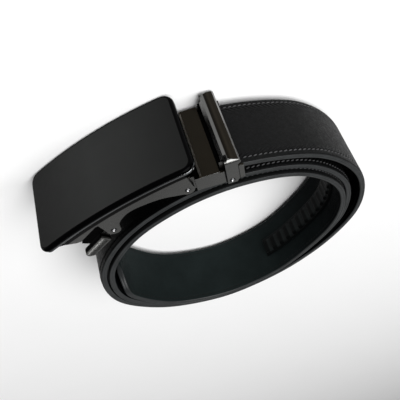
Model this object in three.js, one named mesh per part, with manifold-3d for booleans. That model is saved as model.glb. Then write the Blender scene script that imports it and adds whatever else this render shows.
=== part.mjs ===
// Ratchet belt, coiled and standing on its edge: a leather strap with a toothed rack on its free
// end, a strap clip with its clamp, and an automatic buckle that hinges on the clip.
// Millimetres, +Z up. The buckle's cover plate faces -Y and the clip's hinge axis runs along Z.
import * as THREE from "three";
import { mergeVertices } from "three/addons/utils/BufferGeometryUtils.js";
import Module from "manifold-3d";

const wasm = await Module();
wasm.setup();

// Strap: one leather ribbon, lying in two and three quarter turns
const strapWidth = 35;
const strapThickness = 3.4;
const coilRadius = 62; // mean radius of the innermost face
const turnGap = 0.5; // between turns that lie together
const tongueLength = 12; // length of the rounded free end
const tongueFlat = 6; // straight part of that end
const strapStep = 5; // length of one facet
const innerLift = 1.8; // the free end's turn stands this much higher than the outer ones

// Angle is taken about the coil's centre from the tip's side, inner is the innermost face's radius
// as a share of coilRadius, and each gap is the room outside that turn as a share of turnGap.
const lay = [
  { angle: 0, inner: 1.068, gapOne: 3.6, gapTwo: 1.0 },
  { angle: 30, inner: 1.089, gapOne: 1.0, gapTwo: 1.0 },
  { angle: 60, inner: 1.056, gapOne: 1.0, gapTwo: 1.0 },
  { angle: 90, inner: 0.971, gapOne: 1.0, gapTwo: 1.4 },
  { angle: 120, inner: 0.905, gapOne: 1.0, gapTwo: 8.0 },
  { angle: 150, inner: 0.95, gapOne: 1.0, gapTwo: 10.0 },
  { angle: 180, inner: 0.984, gapOne: 1.0, gapTwo: 8.6 },
  { angle: 210, inner: 0.971, gapOne: 1.0, gapTwo: 8.6 },
  { angle: 240, inner: 0.917, gapOne: 1.0, gapTwo: 0 },
  { angle: 270, inner: 0.911, gapOne: 1.2, gapTwo: 0 },
  { angle: 300, inner: 0.972, gapOne: 1.0, gapTwo: 0 },
  { angle: 330, inner: 1.064, gapOne: 1.0, gapTwo: 0 },
];
const tipAngle = -16;
const tipInner = 1.036; // share of coilRadius at the tip
const lastAngle = 930; // where the outer turn leaves the table for the clip

// Rack: toothed strip sewn on the inner face of the free end
const rackWidth = 12;
const toothPitch = 6.35;
const toothCount = 32;
const rackBacking = 0.8;
const toothHeight = 1.1;
const toothCrest = 1.2;
const toothDrop = 0.5;
const rackFromTip = 124;

// Clearances
const pieceGap = 0.3; // between fitted pieces
const pinGap = 0.3; // round a pin
const sideGap = 0.7; // between strap edges and the metal beside them

// Cover plate and the bright rim behind it
const plateLength = 79.2;
const plateHeight = 43;
const plateThickness = 2.2;
const plateCorner = 6;
const plateRadius = 195; // bow of the long side
const rimInset = 0.8;
const rimThickness = 1.3;

// Buckle frame, measured from the hinge axis: +x to the buckle's free end, -y to the cover plate
const plateReach = 18.8; // hinge axis to the cover's crown
const plateShift = 28.5; // hinge axis to the cover's middle
const frameLength = 68.4;
const frameOverrun = 4.6; // web past the hinge axis
const frameWall = 1.2;
const webThickness = 1.2;
const earRadius = 3.2;
const pinRadius = 1.1;
const pinHead = 0.3; // how far a pin stands out of its wall
const leverPinShare = 0.602; // of the frame's reach from hinge to free end
const leverPinY = -1.1;

// Release lever, measured from its pin
const hubRadius = 2.6;
const bladeHalf = 15;
const bladeLength = 9.4;
const bladeRise = 6.2;
const bladeThickness = 1.7;
const armWidth = 5;
const tabReach = 19.3;
const tabSlope = 21; // degrees inward
const tabStart = 6.4;
const tabOutset = 0.3; // tab past the frame's side wall
const tabWidth = 2.6; // along the strap's width
const paddleReach = 21.5; // lever's plate between the side walls
const paddleCut = 6.8; // length of the corner cut off beside the tab
const paddleDrop = 4.3; // height of that corner
const paddleThickness = 1.6;

// Strap clip: s runs from the hinge axis along the strap, n points outward
const hingeX = -8.4;
const hingeY = -69.4;
const clipBend = 20; // degrees between buckle and clip
const clipStart = 4;
const clipLength = 21.7;
const clipWall = 1;
const faceStart = 6.3;
const faceLength = 8.7;
const faceThickness = 1;
const baseThickness = 0.7;
const strapMiddle = 2.5; // n of the strap's middle in the clip
const strapEnd = 6.8; // s of the strap's end
const flangeDepth = 3.6; // below the hinge axis at the mouth
const knuckleWall = 1;
const knuckleRadius = 2.9;

// Clamp: a bail whose bar grips the strap's outer face
const clampPinS = 19.6;
const clampPinN = -1.5;
const clampPinRadius = 1;
const earWall = 1;
const earBack = 2.1; // ear's edge from the clamp's pin towards the hinge
const earFront = 3.4;
const barBack = 3;
const barFront = 4.8;
const barTop = 12.6;
const barInset = 1.6; // grip's end short of the flange
const foldRadius = 2.2; // where the bar folds down into its ears
const lugWidth = 2.2;
const lugLow = 5;

const degrees = Math.PI / 180;
const strapHalf = strapWidth / 2;
const overhang = (plateHeight - strapWidth) / 2;
const channelHalf = strapHalf + sideGap;
const frameHalf = channelHalf + frameWall;
const clipHalf = channelHalf + clipWall;
const clampInner = clipHalf + pieceGap;
const clampHalf = clampInner + earWall;
const knuckleHalf = channelHalf - 2 * pieceGap;
const frameEnd = frameLength - frameOverrun;
const leverPinX = leverPinShare * frameEnd;

function solidOf(geometry) {
  const bare = new THREE.BufferGeometry();
  bare.setAttribute("position", geometry.getAttribute("position"));
  if (geometry.index) bare.setIndex(geometry.index);
  const merged = mergeVertices(bare, 1e-4);
  return new wasm.Manifold(
    new wasm.Mesh({
      numProp: 3,
      vertProperties: new Float32Array(merged.getAttribute("position").array),
      triVerts: new Uint32Array(merged.index.array),
    })
  );
}

function geometryOf(solid) {
  const mesh = solid.getMesh();
  const geometry = new THREE.BufferGeometry();
  geometry.setAttribute("position", new THREE.BufferAttribute(mesh.vertProperties, 3));
  geometry.setIndex(new THREE.BufferAttribute(mesh.triVerts, 1));
  return geometry;
}

function piece(name, geometry, color, roughness, metalness) {
  const material = new THREE.MeshStandardMaterial({ color, roughness, metalness });
  const mesh = new THREE.Mesh(geometry, material);
  mesh.name = name;
  return mesh;
}

// Flat shape drawn in x and y, standing between two heights
function prism(shape, low, high, curveSegments = 8) {
  const geometry = new THREE.ExtrudeGeometry(shape, {
    depth: high - low,
    bevelEnabled: false,
    curveSegments,
  });
  geometry.translate(0, 0, low);
  return solidOf(geometry);
}

function polygon(points) {
  return new THREE.Shape(points.map(([x, y]) => new THREE.Vector2(x, y)));
}

// The same shape on both sides of the strap's middle plane
function pairOfPrisms(shape, inner, outer) {
  return prism(shape, inner, outer).add(prism(shape, -outer, -inner));
}

function rod(x, y, radius, half, sides = 20) {
  const geometry = new THREE.CylinderGeometry(radius, radius, 2 * half, sides);
  geometry.rotateX(Math.PI / 2);
  geometry.translate(x, y, 0);
  return solidOf(geometry);
}

// Closed ribbon through stations of four corners: inner and outer face at a low and a high edge
function ribbon(stations) {
  const corners = [];
  const faces = [];
  stations.forEach((station) => {
    const { inner, outer, low, high } = station;
    corners.push(inner.x, inner.y, low, outer.x, outer.y, low);
    corners.push(outer.x, outer.y, high, inner.x, inner.y, high);
  });
  for (let i = 0; i + 1 < stations.length; i += 1) {
    for (let side = 0; side < 4; side += 1) {
      const a = 4 * i + side;
      const b = 4 * i + ((side + 1) % 4);
      faces.push(a, a + 4, b, b, a + 4, b + 4);
    }
  }
  const last = 4 * (stations.length - 1);
  faces.push(0, 1, 2, 0, 2, 3);
  faces.push(last, last + 2, last + 1, last, last + 3, last + 2);
  const geometry = new THREE.BufferGeometry();
  geometry.setAttribute("position", new THREE.Float32BufferAttribute(corners, 3));
  geometry.setIndex(faces);
  return geometry;
}

function mix(a, b, t) {
  return a + (b - a) * t;
}

function smooth(t) {
  const u = Math.min(Math.max(t, 0), 1);
  return u * u * (3 - 2 * u);
}

// Strap's route
const clipAngle = (180 - clipBend) * degrees;
const alongClip = new THREE.Vector2(Math.cos(clipAngle), Math.sin(clipAngle));
const outOfClip = new THREE.Vector2(-alongClip.y, alongClip.x);

function clipPoint(s, n) {
  return new THREE.Vector2(hingeX, hingeY).addScaledVector(alongClip, s).addScaledVector(outOfClip, n);
}

function turnRadius(row, turn) {
  let radius = row.inner * coilRadius + strapThickness / 2;
  if (turn > 0) radius += strapThickness + row.gapOne * turnGap;
  if (turn > 1) radius += strapThickness + row.gapTwo * turnGap;
  return radius;
}

function polar(radius, angle) {
  const turn = angle * degrees;
  return new THREE.Vector3(radius * Math.cos(turn), radius * Math.sin(turn), 0);
}

function strapRoute() {
  const knots = [polar(tipInner * coilRadius + strapThickness / 2, tipAngle)];
  for (let turn = 0; turn < 3; turn += 1) {
    for (const row of lay) {
      const angle = row.angle + 360 * turn;
      if (angle <= lastAngle) knots.push(polar(turnRadius(row, turn), angle));
    }
  }
  const mouth = clipStart + clipLength;
  for (const s of [mouth, (mouth + strapEnd) / 2, strapEnd]) {
    const point = clipPoint(s, strapMiddle);
    knots.push(new THREE.Vector3(point.x, point.y, 0));
  }
  return new THREE.CatmullRomCurve3(knots, false, "centripetal");
}

const route = strapRoute();
route.arcLengthDivisions = 1200;
const strapLength = route.getLength();
const clipEnd = clipPoint(strapEnd, strapMiddle);
const routePoints = route.getSpacedPoints(Math.round(strapLength / strapStep));
const farthest = Math.max(...routePoints.map((point) => point.y)) + strapThickness / 2;

// Place on the strap: its middle, the outward normal and the height of its lower edge. The coil
// leans so that its far side touches the ground while the buckle end stays level with the clip.
function placeAt(distance) {
  const t = Math.min(Math.max(distance / strapLength, 0), 1);
  const middle = route.getPointAt(t);
  const tangent = route.getTangentAt(t);
  const normal = new THREE.Vector2(tangent.y, -tangent.x).normalize();
  const lean = (overhang * (farthest - middle.y)) / (farthest - clipEnd.y);
  const turns = (distance / strapLength) * (lastAngle / 360);
  const lift = innerLift * (1 - smooth((turns - 0.55) / 0.6));
  const out = turnsOut(middle, normal) ? normal : normal.negate();
  return { middle, normal: out, low: lean + lift };
}

function turnsOut(middle, normal) {
  return middle.x * normal.x + middle.y * normal.y > 0;
}

// Station of a ribbon that lies between two depths outward of the strap's middle
function station(place, from, to, low, high) {
  const { middle, normal } = place;
  const at = (depth) => new THREE.Vector2(middle.x + normal.x * depth, middle.y + normal.y * depth);
  return { inner: at(from), outer: at(to), low: place.low + low, high: place.low + high };
}

function strapGeometry() {
  const stops = [];
  const roundSteps = 6;
  for (let i = 0; i < roundSteps; i += 1) {
    stops.push(tongueLength * (1 - Math.cos((i / roundSteps) * 90 * degrees)));
  }
  const rest = strapLength - tongueLength;
  const count = Math.round(rest / strapStep);
  for (let i = 0; i <= count; i += 1) stops.push(tongueLength + (rest * i) / count);
  const stations = stops.map((distance) => {
    const back = Math.max(1 - distance / tongueLength, 0);
    const half = mix(tongueFlat / 2, strapHalf, Math.sqrt(1 - back * back));
    const faceHalf = strapThickness / 2;
    return station(placeAt(distance), -faceHalf, faceHalf, strapHalf - half, strapHalf + half);
  });
  return ribbon(stations);
}

function rackGeometry() {
  const face = -strapThickness / 2 - pieceGap;
  const backing = face - rackBacking;
  const crest = backing - toothHeight;
  const low = (strapWidth - rackWidth) / 2;
  const high = low + rackWidth;
  const stations = [];
  const addStation = (distance, depth) => {
    stations.push(station(placeAt(distance), depth, face, low, high));
  };
  for (let tooth = 0; tooth < toothCount; tooth += 1) {
    const start = rackFromTip + tooth * toothPitch;
    addStation(start, backing);
    addStation(start + toothDrop, crest);
    addStation(start + toothDrop + toothCrest, crest);
    addStation(start + toothPitch - toothDrop, backing);
  }
  return ribbon(stations);
}

// Bowed layer of the buckle between two depths behind the cover's crown
function bow(x, depth) {
  const across = x - plateShift;
  return -plateReach + depth + plateRadius - Math.sqrt(plateRadius ** 2 - across ** 2);
}

function bowedStrip(from, to, depth, thickness) {
  const steps = 20;
  const front = [];
  const back = [];
  for (let i = 0; i <= steps; i += 1) {
    const x = mix(from, to, i / steps);
    front.push([x, bow(x, depth)]);
    back.unshift([x, bow(x, depth + thickness)]);
  }
  return polygon([...front, ...back]);
}

function roundedPlate(inset, depth, thickness) {
  const halfLength = plateLength / 2 - inset;
  const halfHeight = plateHeight / 2 - inset;
  const corner = plateCorner - inset;
  const outline = new THREE.Shape();
  const corners = [
    [1, 1, 0],
    [-1, 1, 90],
    [-1, -1, 180],
    [1, -1, 270],
  ];
  for (const [sx, sz, start] of corners) {
    const x = plateShift + sx * (halfLength - corner);
    const z = sz * (halfHeight - corner);
    outline.absarc(x, z, corner, start * degrees, (start + 90) * degrees, false);
  }
  const blank = new THREE.ExtrudeGeometry(outline, {
    depth: 2 * plateReach,
    bevelEnabled: false,
    curveSegments: 6,
  });
  blank.rotateX(Math.PI / 2);
  const ends = [plateShift - plateLength, plateShift + plateLength].map((x) =>
    Math.min(Math.max(x, plateShift - halfLength - 1), plateShift + halfLength + 1)
  );
  const strip = bowedStrip(ends[0], ends[1], depth, thickness);
  const layer = prism(strip, -plateHeight, plateHeight);
  return layer.intersect(solidOf(blank));
}

const rimDepth = plateThickness + pieceGap;
const webDepth = rimDepth + rimThickness + pieceGap;

// Side wall: an ear round the hinge pin, a lobe round the lever's pin and a cut-out for the tab.
// Each low point is a share of frameEnd along x and a height above the hinge axis line.
function sideWall() {
  const archStart = [0.07, 0.4];
  const arch = [
    [0.18, -4.0],
    [0.32, -6.6],
    [0.42, -6.9],
    [0.5, -4.9],
  ];
  const notch = [
    [0.53, -3.4],
    [0.545, -1.6],
  ];
  const cutOut = [
    [0.645, -3.4],
    [0.638, -9.4],
    [0.66, -9.6],
    [0.83, -5.6],
  ];
  const tail = [
    [0.86, -6.2],
    [0.93, -9.6],
  ];
  const along = ([share, y]) => new THREE.Vector2(share * frameEnd, y);
  const wall = new THREE.Shape();
  wall.moveTo(-frameOverrun, bow(-frameOverrun, webDepth));
  wall.lineTo(-earRadius, -earRadius / 2);
  wall.absarc(0, 0, earRadius, Math.PI, 0.15 * Math.PI, true);
  wall.lineTo(along(archStart).x, along(archStart).y);
  wall.splineThru(arch.map(along));
  for (const point of notch) wall.lineTo(along(point).x, along(point).y);
  wall.absarc(leverPinX, leverPinY, earRadius, 0.95 * Math.PI, -0.15 * Math.PI, true);
  for (const point of [...cutOut, ...tail]) wall.lineTo(along(point).x, along(point).y);
  const steps = 16;
  for (let i = 0; i < steps; i += 1) {
    const x = mix(frameEnd, -frameOverrun, i / steps);
    wall.lineTo(x, bow(x, webDepth));
  }
  return wall;
}

function buckleFrame() {
  const web = prism(bowedStrip(-frameOverrun, frameEnd, webDepth, webThickness), -frameHalf, frameHalf);
  const walls = pairOfPrisms(sideWall(), channelHalf, frameHalf);
  const holes = rod(0, 0, pinRadius + pinGap, frameHalf + 1).add(
    rod(leverPinX, leverPinY, pinRadius + pinGap, frameHalf + 1)
  );
  return web.add(walls).subtract(holes);
}

// Lever in its own frame, with the pin at the origin
function releaseLever() {
  const bore = pinRadius + pinGap;
  const innerHalf = channelHalf - 2 * pieceGap;
  const hub = rod(0, 0, hubRadius, innerHalf, 24);
  const blade = prism(
    polygon([
      [hubRadius * 0.4, -hubRadius * 0.8],
      [-bladeLength, -bladeRise - bladeThickness / 2],
      [-bladeLength - bladeThickness / 2, -bladeRise + bladeThickness],
      [-hubRadius * 0.6, hubRadius * 0.7],
    ]),
    -bladeHalf,
    bladeHalf
  );
  const slope = tabSlope * degrees;
  const half = armWidth / 2;
  const place = (along, across) => [
    along * Math.cos(slope) - across * Math.sin(slope),
    along * Math.sin(slope) + across * Math.cos(slope),
  ];
  const tabHigh = frameHalf + tabOutset;
  const tabLow = tabHigh - tabWidth;
  const arm = prism(
    polygon([place(0, -half * 0.8), place(tabStart + 2, -half), place(tabStart + 2, half), place(0, half)]),
    tabLow - 1,
    innerHalf
  );
  const paddle = prism(
    polygon([
      place(0, -half * 0.8),
      place(paddleReach, -half),
      place(paddleReach, paddleThickness - half),
      place(0, paddleThickness - half * 0.8),
    ]),
    -innerHalf,
    innerHalf
  );
  const corner = prism(
    polygon([
      [paddleReach - paddleCut, innerHalf],
      [paddleReach + paddleCut, innerHalf - 2 * paddleDrop],
      [paddleReach + paddleCut, innerHalf + 1],
      [paddleReach - paddleCut, innerHalf + 1],
    ]),
    -armWidth,
    armWidth
  )
    .rotate([90, 0, 0])
    .rotate([0, 0, tabSlope]);
  const tabShape = new THREE.Shape();
  const [endX, endY] = place(tabReach, 0);
  tabShape.moveTo(...place(tabStart, half));
  tabShape.lineTo(...place(tabStart, -half));
  tabShape.lineTo(...place(tabReach, -half));
  tabShape.absarc(endX, endY, half, slope - Math.PI / 2, slope + Math.PI / 2, false);
  const tab = prism(tabShape, tabLow, tabHigh);
  const plate = paddle.subtract(corner);
  return hub.add(blade).add(arm).add(plate).add(tab).subtract(rod(0, 0, bore, innerHalf + 1));
}

// Clip and clamp in the clip's own frame: x is s and y is n
const faceOuter = strapMiddle + strapThickness / 2 + pieceGap + faceThickness;
const baseTop = strapMiddle - strapThickness / 2 - pieceGap;
const mouthEnd = clipStart + clipLength;

function clipBody() {
  const faceEnd = faceStart + faceLength;
  const flange = polygon([
    [clipStart, faceOuter],
    [clipStart, -knuckleRadius],
    [faceEnd, -flangeDepth],
    [mouthEnd, -flangeDepth],
    [mouthEnd, faceOuter - 0.3 * faceThickness],
    [mouthEnd - 2.4, faceOuter],
    [mouthEnd - 2.6, faceOuter - faceThickness],
    [faceEnd, faceOuter - faceThickness],
    [faceEnd, faceOuter],
  ]);
  const face = polygon([
    [faceStart, faceOuter - faceThickness],
    [faceEnd, faceOuter - faceThickness],
    [faceEnd, faceOuter],
    [faceStart + faceThickness, faceOuter],
  ]);
  const base = polygon([
    [clipStart, baseTop - baseThickness],
    [mouthEnd - 1, baseTop - baseThickness],
    [mouthEnd - 1, baseTop],
    [clipStart, baseTop],
  ]);
  const knuckle = new THREE.Shape();
  knuckle.moveTo(clipStart + clipWall, faceOuter);
  knuckle.lineTo(clipStart - 1.6, faceOuter);
  knuckle.lineTo(-knuckleRadius * Math.SQRT1_2, knuckleRadius * Math.SQRT1_2);
  knuckle.absarc(0, 0, knuckleRadius, 0.75 * Math.PI, 1.5 * Math.PI, false);
  knuckle.lineTo(clipStart + clipWall, -knuckleRadius);
  const bridge = polygon([
    [clipStart, -knuckleRadius],
    [clipStart + clipWall, -knuckleRadius],
    [clipStart + clipWall, faceOuter],
    [clipStart, faceOuter],
  ]);
  const holes = rod(0, 0, pinRadius + pinGap, clipHalf + 1).add(
    rod(clampPinS, clampPinN, clampPinRadius + pinGap, clipHalf + 1)
  );
  return pairOfPrisms(flange, channelHalf, clipHalf)
    .add(prism(face, -clipHalf, clipHalf))
    .add(prism(base, -clipHalf, clipHalf))
    .add(pairOfPrisms(knuckle, knuckleHalf - knuckleWall, knuckleHalf))
    .add(pairOfPrisms(bridge, knuckleHalf - knuckleWall, clipHalf))
    .subtract(holes);
}

// Block along the strap, rounded where the bar's outer face meets the outside of the ears
function foldBlock() {
  const shape = new THREE.Shape();
  const reach = clampHalf - foldRadius;
  const low = clampPinN - 2 * flangeDepth;
  shape.moveTo(-clampHalf, low);
  shape.lineTo(clampHalf, low);
  shape.absarc(reach, barTop - foldRadius, foldRadius, 0, Math.PI / 2, false);
  shape.absarc(-reach, barTop - foldRadius, foldRadius, Math.PI / 2, Math.PI, false);
  const length = clampPinS + 2 * barFront;
  const block = new THREE.ExtrudeGeometry(shape, { depth: length, bevelEnabled: false, curveSegments: 5 });
  block.rotateY(-Math.PI / 2);
  block.translate(length, 0, 0);
  return solidOf(block);
}

function clampBail() {
  const left = clampPinS - earBack;
  const right = clampPinS + earFront;
  const footRadius = flangeDepth + clampPinN;
  const ear = polygon([
    [right, clampPinN],
    [right, barTop - 1],
    [left, barTop - 1],
    [left, clampPinN],
    [clampPinS - footRadius, clampPinN - footRadius],
    [clampPinS + footRadius, clampPinN - footRadius],
  ]);
  const grip = strapMiddle + strapThickness / 2 + pieceGap;
  const barLeft = clampPinS - barBack;
  const barRight = clampPinS + barFront;
  const bar = polygon([
    [barLeft, grip + 1.6],
    [barLeft + 1, grip],
    [barRight - 4.8, grip],
    [barRight - 1.4, grip + 1.8],
    [barRight, grip + 3.6],
    [barRight, barTop - 2.2],
    [barRight - 0.8, barTop - 1],
    [barLeft + 2.6, barTop],
    [barLeft + 1.4, barTop - 0.4],
    [barLeft, barTop - 2.6],
  ]);
  const barHalf = channelHalf - barInset;
  const fold = polygon([
    [left, barTop - 4],
    [right, barTop - 4],
    [barRight, barTop - 3],
    [barRight, barTop - 2.2],
    [barRight - 0.8, barTop - 1],
    [left + 1.7, barTop],
    [left, barTop - 2],
  ]);
  const lug = polygon([
    [left - lugWidth + 0.3, barTop - 3.4],
    [left - lugWidth + 0.3, lugLow + 0.8],
    [left - lugWidth + 0.9, lugLow],
    [left - 0.3, lugLow],
    [left + 0.3, lugLow + 0.8],
    [left + 0.3, barTop - 3.4],
  ]);
  const holes = rod(clampPinS, clampPinN, clampPinRadius + pinGap, clampHalf + 1);
  return pairOfPrisms(ear, clampInner, clampHalf)
    .add(prism(bar, -barHalf, barHalf))
    .add(pairOfPrisms(fold, barHalf - 1, clampHalf))
    .add(pairOfPrisms(lug, barHalf - lugWidth, barHalf + 0.6))
    .intersect(foldBlock())
    .subtract(holes);
}

const leather = 0x17181a;
const lining = 0x1b2321;
const gunmetal = 0x55575a;
const blackMetal = 0x35373a;

const middleHeight = overhang + strapHalf;
const belt = new THREE.Group();

belt.add(piece("strap", strapGeometry(), leather, 0.6, 0));
belt.add(piece("ratchet_rack", rackGeometry(), lining, 0.5, 0));

const clip = new THREE.Group();
clip.position.set(hingeX, hingeY, middleHeight);
clip.rotation.z = clipAngle;
clip.add(piece("clip_body", geometryOf(clipBody()), gunmetal, 0.3, 0.9));
clip.add(piece("clamp_bail", geometryOf(clampBail()), gunmetal, 0.3, 0.9));
const clampPin = rod(clampPinS, clampPinN, clampPinRadius, clampHalf + pinHead);
clip.add(piece("clamp_pin", geometryOf(clampPin), gunmetal, 0.25, 0.9));
belt.add(clip);

const buckle = new THREE.Group();
buckle.position.set(hingeX, hingeY, middleHeight);
const cover = roundedPlate(0, 0, plateThickness);
const rim = roundedPlate(rimInset, rimDepth, rimThickness);
buckle.add(piece("cover_plate", geometryOf(cover), blackMetal, 0.5, 0.4));
buckle.add(piece("plate_rim", geometryOf(rim), gunmetal, 0.2, 0.9));
buckle.add(piece("buckle_frame", geometryOf(buckleFrame()), gunmetal, 0.35, 0.9));
const hingePin = rod(0, 0, pinRadius, frameHalf + pinHead);
buckle.add(piece("hinge_pin", geometryOf(hingePin), gunmetal, 0.25, 0.9));
const leverPin = rod(leverPinX, leverPinY, pinRadius, frameHalf + pinHead);
buckle.add(piece("lever_pin", geometryOf(leverPin), gunmetal, 0.25, 0.9));
const lever = new THREE.Group();
lever.position.set(leverPinX, leverPinY, 0);
lever.add(piece("release_lever", geometryOf(releaseLever()), gunmetal, 0.35, 0.9));
buckle.add(lever);
belt.add(buckle);

// The origin is under the middle of the belt, on the surface that it stands on
const bounds = new THREE.Box3().setFromObject(belt);
const middle = bounds.getCenter(new THREE.Vector3());
const group = new THREE.Group();
belt.position.set(-middle.x, -middle.y, -bounds.min.z);
group.add(belt);

export default group;
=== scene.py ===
"""Ratchet belt, coiled and standing on its edge: the looks of its strap, rack, clip and buckle."""
import math

import bmesh
import bpy
import numpy as np
from bpy.props import FloatProperty, FloatVectorProperty, PointerProperty
from mathutils import Matrix, Vector


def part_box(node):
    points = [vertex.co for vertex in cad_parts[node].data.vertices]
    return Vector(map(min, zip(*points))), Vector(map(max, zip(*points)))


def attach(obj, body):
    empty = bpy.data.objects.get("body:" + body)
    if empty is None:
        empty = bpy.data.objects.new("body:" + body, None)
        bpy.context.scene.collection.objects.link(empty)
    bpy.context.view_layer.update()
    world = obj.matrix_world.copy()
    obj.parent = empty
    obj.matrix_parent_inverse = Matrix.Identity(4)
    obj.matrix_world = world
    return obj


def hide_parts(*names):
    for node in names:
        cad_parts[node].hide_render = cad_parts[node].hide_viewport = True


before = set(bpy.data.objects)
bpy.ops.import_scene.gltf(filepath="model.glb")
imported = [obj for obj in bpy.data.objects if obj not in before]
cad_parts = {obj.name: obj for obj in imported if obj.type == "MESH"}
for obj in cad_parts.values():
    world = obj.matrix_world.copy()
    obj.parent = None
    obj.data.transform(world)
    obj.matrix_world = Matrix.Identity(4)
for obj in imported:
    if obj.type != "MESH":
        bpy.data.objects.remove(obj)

bl_info = {
    "name": "Ratchet Belt",
    "version": (1, 0, 0),
    "blender": (4, 5, 0),
    "location": "View3D > Sidebar > Ratchet Belt",
    "description": "Builds a coiled leather belt with its rack, strap clip and automatic buckle",
    "category": "Mesh",
}

MM = 0.001


def mm(value):
    return value / MM


def node_box(name):
    """Lowest and highest corner of a frame node, in millimetres."""
    low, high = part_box(name)
    return np.array(low) / MM, np.array(high) / MM


pin_low, pin_high = node_box("hinge_pin")
cover_low, cover_high = node_box("cover_plate")
rim_low, rim_high = node_box("plate_rim")
cover_size = cover_high - cover_low
hinge_place = (pin_low + pin_high) / 2
plate_shift = (cover_low[0] + cover_high[0]) / 2 - hinge_place[0]
plate_reach = hinge_place[1] - cover_low[1]
rim_inset = (cover_size[0] - rim_high[0] + rim_low[0]) / 2
rim_depth = rim_low[1] - cover_low[1]
middle_height = cover_size[2] / 2

# Strap's route in millimetres: angle, inner face as a share of COIL_RADIUS, gaps outside turns one and two
COIL_RADIUS = 62
TURN_GAP = 0.5
LAY = np.array([
    [0, 1.068, 3.6, 1.0],
    [30, 1.089, 1.0, 1.0],
    [60, 1.056, 1.0, 1.0],
    [90, 0.971, 1.0, 1.4],
    [120, 0.905, 1.0, 8.0],
    [150, 0.95, 1.0, 10.0],
    [180, 0.984, 1.0, 8.6],
    [210, 0.971, 1.0, 8.6],
    [240, 0.917, 1.0, 0],
    [270, 0.911, 1.2, 0],
    [300, 0.972, 1.0, 0],
    [330, 1.064, 1.0, 0],
])
TIP_ANGLE = -16
TIP_INNER = 1.036
LAST_ANGLE = 930
TONGUE_LENGTH = 12
TONGUE_FLAT = 6
INNER_LIFT = 1.8

# Stretches of the strap with painted shade: from and to behind the buckle, where that one fades, and inside the
# clip
SHADE_FROM = 712
SHADE_FADES = 765
SHADE_HALF = 786
SHADE_TO = 800
SHADE_IN_CLIP = 14.2

# Fixed tones of the finishes: painted shade on the leather and the lining, black of painted shade on steel,
# polished black, and a painted highlight for lit edges
SHADED = (0.0006, 0.0007, 0.0007)
LINING_SHADE = (0.0008, 0.0013, 0.0019)
PAINTED_SHADE_BLACK = (0.0004, 0.0004, 0.0004)
POLISHED_BLACK = (0.0006, 0.0006, 0.0007)
LIT_EDGE = (0.52, 0.49, 0.44)

# Clip and hinge
HINGE = np.array([-8.4, -69.4])
CLIP_BEND = 20
CLIP_START = 4
CLIP_LENGTH = 21.7
STRAP_MIDDLE = 2.5
STRAP_END = 6.8
FACE_FROM = 6.3
FACE_OUT = 5.5
BAR_OUT = 12.6
EAR_FROM = 17.5
EAR_TO = 23

# Buckle, measured from the hinge axis
PLATE_BOW = 195
PLATE_THICKNESS = 2.2
RIM_THICKNESS = 1.3
RIM_SHOWN = 0.5
# Depth behind the cover's front to which the frame carries the painted shadow of the rim
PAINTED_SHADOW_FOOT = 7.85
TAB_SLOPE = 21
TAB_REACH = 19.3
TAB_START = 6.4
ARM_WIDTH = 5
TAB_WIDTH = 2.6
TAB_ROUND = 1.2


class StrapSettings(bpy.types.PropertyGroup):
    """Sizes and colours of the leather strap."""

    width: FloatProperty(name="Width", description="Width of the strap", default=0.035, unit="LENGTH")
    thickness: FloatProperty(
        name="Thickness", description="Leather and lining together", default=0.0034, unit="LENGTH"
    )
    edge_round: FloatProperty(
        name="Edge rounding", description="Radius of the outer face's edge", default=0.0009, unit="LENGTH"
    )
    stitch_inset: FloatProperty(
        name="Stitch inset", description="Stitch row to strap edge", default=0.0026, unit="LENGTH"
    )
    stitch_pitch: FloatProperty(
        name="Stitch pitch", description="Length from stitch to stitch", default=0.0024, unit="LENGTH"
    )
    stitch_length: FloatProperty(
        name="Stitch length", description="Length of thread that shows", default=0.0019, unit="LENGTH"
    )
    stitch_slant: FloatProperty(
        name="Stitch slant", description="Turn of a stitch from its row", default=math.radians(17), unit="ROTATION"
    )
    leather: FloatVectorProperty(
        name="Leather", description="Outer face", default=(0.0024, 0.0026, 0.0027), subtype="COLOR"
    )
    lining: FloatVectorProperty(
        name="Lining", description="Inner face", default=(0.0098, 0.0136, 0.0136), subtype="COLOR"
    )
    edge: FloatVectorProperty(
        name="Edge paint", description="Painted rims", default=(0.023, 0.0247, 0.0253), subtype="COLOR"
    )
    thread: FloatVectorProperty(
        name="Thread", description="Stitching", default=(0.06, 0.06, 0.062), subtype="COLOR"
    )


class RackSettings(bpy.types.PropertyGroup):
    """Sizes and colour of the toothed rack inside the free end."""

    width: FloatProperty(name="Width", description="Width of the rack", default=0.012, unit="LENGTH")
    from_tip: FloatProperty(
        name="From the tip", description="Strap tip to the first tooth", default=0.124, unit="LENGTH"
    )
    pitch: FloatProperty(
        name="Tooth pitch", description="Length from tooth to tooth", default=0.00635, unit="LENGTH"
    )
    length: FloatProperty(name="Length", description="Length of the rack", default=0.2032, unit="LENGTH")
    backing: FloatProperty(
        name="Backing", description="Thickness under the teeth", default=0.0011, unit="LENGTH"
    )
    tooth: FloatProperty(
        name="Tooth height", description="Height over the backing", default=0.0011, unit="LENGTH"
    )
    plastic: FloatVectorProperty(
        name="Plastic", description="Moulded rack", default=(0.0016, 0.0020, 0.0020), subtype="COLOR"
    )


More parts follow.
